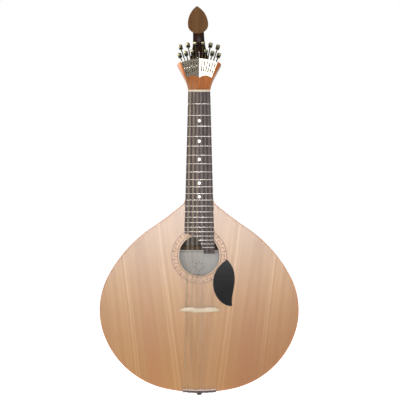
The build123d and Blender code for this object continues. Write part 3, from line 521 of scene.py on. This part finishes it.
# The knob's levels in millimetres: inside its full radius, past its start, and the slot above.
KNOB_LEVELS = [(1.0, 0.0, COLLAR), (0.35, 0.7, COLLAR), (0.3, 3.1, COLLAR), (0.95, 3.5, COLLAR),
               (0.95, 3.9, BAND), (0.1, 4.3, BAND), (0.0, 4.7, BAND), (0.0, 6.6, BAND),
               (0.35, 6.9, CAP), (0.05, 7.3, CAP)]
CAP_R = KNOB_R - 0.05 * MM
CAP_STEPS = 6
THRUST_R = 1.8 * MM                  # the collar inside the flange


def axis_frame(origin, direction):
    """A matrix whose Y runs along a direction from an origin."""
    turn = Vector(direction).to_track_quat("Y", "Z")
    return Matrix.Translation(origin) @ turn.to_matrix().to_4x4()


def new_piece(name, maker, shades):
    """A smoothly shaded mesh object from a bmesh, with its materials."""
    mesh = bpy.data.meshes.new(name)
    bmesh.ops.recalc_face_normals(maker, faces=maker.faces)
    maker.to_mesh(mesh)
    maker.free()
    for shade in shades:
        mesh.materials.append(shade.material)
    for polygon in mesh.polygons:
        polygon.use_smooth = True
    piece = bpy.data.objects.new(name, mesh)
    bpy.context.scene.collection.objects.link(piece)
    return piece


def bridge_rings(maker, rings, slots=None, closed=False):
    """Quads between neighbouring rings of points; a slot for each band of faces."""
    made = [[maker.verts.new(point) for point in ring] for ring in rings]
    count = len(made[0])
    for band in range(len(made) if closed else len(made) - 1):
        lower, upper = made[band], made[(band + 1) % len(made)]
        for place in range(count):
            after = (place + 1) % count
            face = maker.faces.new((lower[place], lower[after], upper[after], upper[place]))
            face.material_index = slots[band] if slots else 0
    if not closed:
        for ring, slot in [(made[0], 0), (made[-1], slots[-1] if slots else 0)]:
            maker.faces.new(ring).material_index = slot


def thread_rings():
    """Rings along the screw whose radius follows the thread, a turn to each pitch."""
    steps_a_turn, sides = 6, 12
    count = round((THREAD_END - SPINDLE_TAIL) / THREAD_PITCH * steps_a_turn)
    rings = []
    for step in range(count + 1):
        along = SPINDLE_TAIL + step * THREAD_PITCH / steps_a_turn
        ring = []
        for side in range(sides):
            phase = step / steps_a_turn - side / sides
            wave = abs((phase % 1.0) * 2 - 1)
            radius = THREAD_ROOT + (THREAD_CREST - THREAD_ROOT) * wave
            angle = math.tau * side / sides
            ring.append(Vector((radius * math.cos(angle), along, radius * math.sin(angle))))
        rings.append(ring)
    return rings


def turned_rings(profile, sides, flutes=0, depth=0.0, fluted=()):
    """Rings of a turned shape; the bands whose numbers are in fluted get shallow flutes."""
    rings = []
    for number, (radius, along) in enumerate(profile):
        ring = []
        for side in range(sides):
            angle = math.tau * side / sides
            cut = depth * 0.5 * (1 - math.cos(flutes * angle)) if number in fluted else 0.0
            reach = radius - cut
            ring.append(Vector((reach * math.cos(angle), along, reach * math.sin(angle))))
        rings.append(ring)
    return rings


def knob_profile(start):
    """Radius, place along the axis, and material slot of each band: a collar painted near-black
    as the shaded reflection low on the knob, waist, a grey band with a bead, and a domed khaki cap."""
    end = start + KNOB_L
    levels = [(KNOB_R - cut * MM, start + along * MM, slot) for cut, along, slot in KNOB_LEVELS]
    for step in range(CAP_STEPS + 1):
        angle = math.radians(90) * step / CAP_STEPS
        radius = CAP_R - KNOB_ROUND_R * (1 - math.cos(angle))
        levels.append((radius, end - KNOB_ROUND_R * (1 - math.sin(angle)), CAP))
    levels.append((0.8 * MM, end, CAP))
    return levels


def make_tuner(number, shades):
    """A spindle with its thread and knob, on the tuner's own joint axis."""
    joint = joints[f"tuner_{number:02d}_turn"]
    side_place = number - 1 if number <= 6 else 12 - number
    start = KNOB_REACH[(side_place + 1) % 2]
    maker = bmesh.new()
    bridge_rings(maker, thread_rings())
    shaft = [(THREAD_CREST, THREAD_END), (THRUST_R, THREAD_END - 0.7 * MM),
             (THRUST_R, THREAD_END + 0.2 * MM), (SHAFT_R, THREAD_END + 2.0 * MM),
             (SHAFT_R, start + 0.5 * MM)]
    bridge_rings(maker, turned_rings(shaft, 24))
    levels = knob_profile(start)
    outline = [level[:2] for level in levels]
    rings = turned_rings(outline, 4 * FLUTES, FLUTES, FLUTE_DEPTH, FLUTED_LEVELS)
    bridge_rings(maker, rings, [level[2] for level in levels])
    place = axis_frame(Vector(joint["pos_m"]), joint["axis"])
    bmesh.ops.transform(maker, matrix=place, verts=maker.verts)
    piece = new_piece(f"knob_and_screw_{number:02d}", maker, shades)
    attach(piece, f"tuner_{number:02d}")
    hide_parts(f"tuner_{number:02d}")


def make_tuners():
    screw = metal("screw_nickel", srgb(186, 178, 150), srgb(132, 124, 98), 0.28)
    # The collar's near-black is painted shade: the dark reflection low on the knob's metal.
    collar = metal("collar_painted_shade", srgb(44, 42, 40), srgb(24, 23, 22), 0.3, wear=0.8)
    band = metal("band_grey", srgb(124, 124, 108), srgb(84, 86, 72), 0.3)
    cap = metal("cap_khaki", srgb(190, 178, 142), srgb(140, 128, 94), 0.3)
    for number in range(1, 13):
        make_tuner(number, [screw, collar, band, cap])


# ---------------------------------------------------------------- strings

STRING_R = [0.43 * MM, 0.36 * MM, 0.30 * MM, 0.17 * MM, 0.14 * MM, 0.12 * MM]
WOUND_COURSES = 3
SCALE_LENGTH = 470.0 * MM
BRIDGE_UP = 183.3 * MM               # the strings' rest on the bridge, above the tail
NUT_UP = BRIDGE_UP + SCALE_LENGTH
NUT_T = 4.0 * MM
BOARD_R = 190.0 * MM
BOARD_T = 6.0 * MM
STRING_ABOVE_BOARD = 1.45 * MM
BRIDGE_X = 1.2 * MM
BRIDGE_H = 10.6 * MM
BRIDGE_CROWN_R = 230.0 * MM
SADDLE_H = 3.0 * MM
TAIL_EDGE_R = 348.0 * MM
TAILPIECE_T = 1.4 * MM
PIN_ROWS = [14.0 * MM, 23.0 * MM]
PIN_LOOP_R = 1.45 * MM
HOOK_REST_R = [91.5 * MM, 90.2 * MM, 92.4 * MM, 89.6 * MM, 91.0 * MM, 92.0 * MM]
HOOK_HALF_W = 0.85 * MM              # the prong that a string's loop goes round
HOOK_NEAR = -1.7 * MM
HOOK_FAR = 0.5 * MM
HOOK_LOOP_UP = 1.0 * MM              # a loop's height on the hook, above the plate
LOOP_END = 0.5 * MM                  # a string's end, tailwards of the prong
PIN_ROOM = 1.6 * MM                  # string's surface to the pin's axis, or to the plate's edge
STRING_GAP = 0.1 * MM
LOOP_SINK = 0.4 * MM
SADDLE_UP = 4.6 * MM                 # where it rests on the saddle, above the tail's edge
BEND_R = 1.0 * MM
TWIST_L = 7.0 * MM
TWIST_PITCH = 1.7 * MM
# Course step and the gap in a pair, at three places along the strings.
AT_NUT = (7.6 * MM, 2.0 * MM)
AT_BRIDGE = (11.4 * MM, 2.6 * MM)
AT_TAIL = (12.6 * MM, 5.2 * MM)


def body_point(x, behind, up):
    """A place across, behind the soundboard's face, and above the tail."""
    return Vector((x, FRONT_Y + behind, TAIL_Z + up))


def string_x(string, spacing):
    step, gap = spacing
    return (string // 2 - 2.5) * step + (string % 2 - 0.5) * gap


def hook_frame(string):
    """X across, Y outwards along the screw, and Z out of the fan plate, at a hook's rest."""
    side = -1 if string < 6 else 1
    index = 5 - string if string < 6 else string - 6
    joint = joints[f"tuner_{string + 1:02d}_turn"]
    along = Vector(joint["axis"])
    out = Vector((side * math.sin(FAN_FOLD), -math.cos(HEAD_TILT) * math.cos(FAN_FOLD),
                  math.sin(HEAD_TILT) * math.cos(FAN_FOLD)))
    origin = Vector(joint["pos_m"]) + along * (HOOK_REST_R[index] - FAN_R) + out * SPINDLE_DEPTH
    frame_rows = Matrix((along.cross(out), along, out)).transposed()
    return Matrix.Translation(origin) @ frame_rows.to_4x4()


def rounded(corners, reach, steps=6):
    """A polyline with each inner corner replaced by a short curve."""
    path = [corners[0]]
    for before, corner, after in zip(corners, corners[1:], corners[2:]):
        start = corner + (before - corner).normalized() * reach
        end = corner + (after - corner).normalized() * reach
        for step in range(steps + 1):
            share = step / steps
            path.append(start.lerp(corner, share).lerp(corner.lerp(end, share), share))
    return path + [corners[-1]]


def tube(maker, path, radius, sides=8, slot=0, closed=False):
    """A round bar along a path of points."""
    rings = []
    count = len(path)
    side_way = None
    for place, point in enumerate(path):
        before = path[place - 1] if place or closed else point
        after = path[(place + 1) % count] if place + 1 < count or closed else point
        ahead = (after - before).normalized()
        if side_way is None:
            side_way = ahead.orthogonal().normalized()
        side_way = (side_way - ahead * side_way.dot(ahead)).normalized()
        up_way = ahead.cross(side_way)
        rings.append([point + (side_way * math.cos(angle) + up_way * math.sin(angle)) * radius
                      for angle in [math.tau * number / sides for number in range(sides)]])
    bridge_rings(maker, rings, [slot] * count, closed)


def twist(start, ahead, radius, steps_a_turn=8):
    """A helix round a string, for the end that is wrapped back on it."""
    side_way = ahead.orthogonal().normalized()
    up_way = ahead.cross(side_way)
    path = []
    for step in range(round(TWIST_L / TWIST_PITCH * steps_a_turn) + 1):
        angle = math.tau * step / steps_a_turn
        centre = start + ahead * (TWIST_PITCH * step / steps_a_turn)
        path.append(centre + (side_way * math.cos(angle) + up_way * math.sin(angle)) * radius)
    return path


def pin_loop(centre, lean, steps=20):
    """A ring round a tail pin, whose axis leans with the body's curved edge."""
    across = Vector((math.cos(lean), 0.0, math.sin(lean)))
    back = Vector((0.0, 1.0, 0.0))
    return [centre + (across * math.cos(angle) + back * math.sin(angle)) * PIN_LOOP_R
            for angle in [math.tau * step / steps for step in range(steps)]]


def hook_loop(place, radius, steps=20):
    """An oval round the hook's prong that narrows to meet the string."""
    half_w = HOOK_HALF_W + radius + STRING_GAP
    middle = (HOOK_NEAR + HOOK_FAR) / 2
    half_l = (HOOK_FAR - HOOK_NEAR) / 2 + radius + 0.45 * MM
    return [place @ Vector((half_w * math.cos(angle), middle + half_l * math.sin(angle), HOOK_LOOP_UP))
            for angle in [math.tau * step / steps for step in range(steps)]]


def make_string(string, wire, core):
    """One string from its tail pin, over saddle, bridge and nut, to its travelling hook."""
    radius = STRING_R[string // 2]
    wound = string // 2 < WOUND_COURSES
    tail_x = string_x(string, AT_TAIL)
    bridge_x = BRIDGE_X + string_x(string, AT_BRIDGE)
    nut_x = string_x(string, AT_NUT)
    rise = TAIL_EDGE_R - math.sqrt(TAIL_EDGE_R ** 2 - tail_x ** 2)
    edge = rise - TAILPIECE_T - radius - STRING_GAP
    pin = PIN_ROWS[string % 2]
    crest = BRIDGE_H - (bridge_x - BRIDGE_X) ** 2 / (2 * BRIDGE_CROWN_R)
    at_nut = BOARD_R - BOARD_T - math.sqrt((BOARD_R + STRING_ABOVE_BOARD) ** 2 - nut_x ** 2)
    place = hook_frame(string)
    hook_end = place @ Vector((0.0, HOOK_NEAR - LOOP_END, HOOK_LOOP_UP))
    nut_point = body_point(nut_x, at_nut, NUT_UP + NUT_T / 2)
    corners = [body_point(tail_x, pin - PIN_ROOM - radius, edge - LOOP_SINK),
               body_point(tail_x, -PIN_ROOM - radius, edge),
               body_point(tail_x, -SADDLE_H - radius, rise + SADDLE_UP),
               body_point(bridge_x, -crest, BRIDGE_UP), nut_point, hook_end]

    maker = bmesh.new()
    tube(maker, rounded(corners, BEND_R), radius)
    thin = radius * (0.5 if wound else 0.85)
    ring = pin_loop(body_point(tail_x, pin, edge - LOOP_SINK), tail_x / TAIL_EDGE_R)
    tube(maker, ring, thin, slot=1, closed=True)
    tube(maker, hook_loop(place, thin), thin, slot=1, closed=True)
    back_along = (nut_point - hook_end).normalized()
    up_along = (corners[1] - corners[0]).normalized()
    for start, ahead in [(hook_end, back_along), (corners[0], up_along)]:
        tube(maker, twist(start, ahead, radius + thin), thin, 6, 1)
    kind = "wound" if wound else "plain"
    piece = new_piece(f"string_{string + 1:02d}", maker, [wire, core])
    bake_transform(piece)
    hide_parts(f"{kind}_strings")


def make_strings():
    plain = metal("string_steel", srgb(200, 197, 192), srgb(166, 162, 156), 0.34)
    wound = metal("string_winding", srgb(192, 178, 154), srgb(156, 140, 116), 0.4)
    turns = wound.math("SINE", wound.times(wound.axes()[2], math.tau / (0.3 * MM)))
    wound.bump(turns, 0.25, 0.00003)
    for string in range(12):
        make_string(string, wound if string // 2 < WOUND_COURSES else plain, plain)


# ---------------------------------------------------------------- room, lights and camera

SURROUND = 0.16                      # the grey that lights the instrument from all round
FLOOR_RADIUS = 30.0
FLOOR_GAP = 0.012
FRONT_GLOW = 0.3                     # of the floor just in front of the instrument
BACK_GLOW = 0.9                      # and of the rest of it
FOCAL_BASE = 36.0                    # the camera's sensor, in millimetres
CAMERA_DISTANCE = 2.6
VIEW_HEIGHT = 0.870                  # of the soundboard's plane that the picture takes in
VIEW_CENTRE_X = 0.0017
VIEW_CENTRE_UP = 0.4182              # above the tail


def area_light(name, place, target, size, watts, spread=180, colour=(1, 1, 1)):
    light = bpy.data.lights.new(name, "AREA")
    light.spread = math.radians(spread)
    light.shape = "RECTANGLE"
    light.size, light.size_y = size
    light.energy = watts
    light.color = colour
    lamp = bpy.data.objects.new(name, light)
    lamp.location = place
    lamp.rotation_euler = (Vector(target) - Vector(place)).to_track_quat("-Z", "Y").to_euler()
    bpy.context.scene.collection.objects.link(lamp)


def make_floor():
    """A pale floor just under the instrument, wide enough to reach every view's horizon. It
    glows less just in front of the instrument, where the lacquer would mirror it."""
    mesh = bpy.data.meshes.new("floor")
    maker = bmesh.new()
    bmesh.ops.create_circle(maker, cap_ends=True, radius=FLOOR_RADIUS, segments=96)
    maker.to_mesh(mesh)
    maker.free()
    floor = bpy.data.objects.new("floor", mesh)
    floor.location.z = cad_box[0].z - FLOOR_GAP
    bpy.context.scene.collection.objects.link(floor)
    paint = Shade("floor_paint", specular_ior_level=0.1, roughness=0.9)
    cloud = paint.noise(paint.coords, 1.5, 2.0)
    paint.set("Base Color", paint.mix(cloud, (0.90, 0.90, 0.90, 1), (0.93, 0.93, 0.93, 1)))
    paint.set("Emission Color", (1.0, 1.0, 1.0, 1.0))
    backward = paint.axes()[1]
    distance = paint.add("VectorMath", paint.coords, operation="LENGTH").outputs["Value"]
    behind = paint.span(backward, -0.5, 0.1, FRONT_GLOW, BACK_GLOW, smooth=True)
    far = paint.span(distance, 1.0, 3.5, FRONT_GLOW, BACK_GLOW, smooth=True)
    paint.set("Emission Strength", paint.math("MAXIMUM", behind, far))
    mesh.materials.append(paint.material)


def make_world():
    """White to the camera, and a softer grey for the light that reaches the instrument."""
    world = bpy.data.worlds.new("studio")
    world.use_nodes = True
    bpy.context.scene.world = world
    tree = world.node_tree
    background = tree.nodes["Background"]
    seen = tree.nodes.new("ShaderNodeLightPath").outputs["Is Camera Ray"]
    strength = tree.nodes.new("ShaderNodeMapRange")
    tree.links.new(seen, strength.inputs["Value"])
    strength.inputs["To Min"].default_value = SURROUND
    strength.inputs["To Max"].default_value = 1.0
    tree.links.new(strength.outputs["Result"], background.inputs["Strength"])
    background.inputs["Color"].default_value = (1.0, 1.0, 1.0, 1.0)


def make_lights():
    """A wide window behind the camera for the sheen, a fill from the left, a bright and a dim
    panel that the fan plate's halves mirror, one for the head's left bevel, and one behind."""
    body = (0.0, FRONT_Y, 0.35)
    head = (0.02, FRONT_Y, TAIL_Z + 0.73)
    area_light("window", (-0.1, -3.7, 0.56), body, (1.4, 0.75), 4.4, spread=50)
    area_light("side_fill", (-1.9, -2.0, 0.9), body, (1.0, 1.4), 2.4, spread=80)
    area_light("plate_panel", (0.62, -2.6, 2.25), head, (0.75, 0.9), 8.0)
    area_light("dim_panel", (-0.62, -2.6, 2.25), head, (0.75, 0.9), 0.4, colour=(1.0, 0.9, 0.75))
    area_light("bevel_panel", (-2.2, 0.17, 1.18), head, (0.5, 0.5), 5.0, spread=60)
    area_light("back", (0.6, 2.4, 2.2), body, (2.0, 1.2), 20.0)


def make_camera():
    camera = bpy.data.cameras.new("camera")
    camera.sensor_width = FOCAL_BASE
    camera.lens = FOCAL_BASE * CAMERA_DISTANCE / VIEW_HEIGHT
    seat = bpy.data.objects.new("camera", camera)
    seat.location = (VIEW_CENTRE_X, FRONT_Y - CAMERA_DISTANCE, TAIL_Z + VIEW_CENTRE_UP)
    seat.rotation_euler = (math.radians(90), 0, 0)
    bpy.context.scene.collection.objects.link(seat)
    bpy.context.scene.camera = seat


bpy.context.scene.view_settings.view_transform = "Standard"
make_floor()
make_world()
make_lights()
make_camera()
make_woods()
make_finishes()
make_tuners()
make_strings()
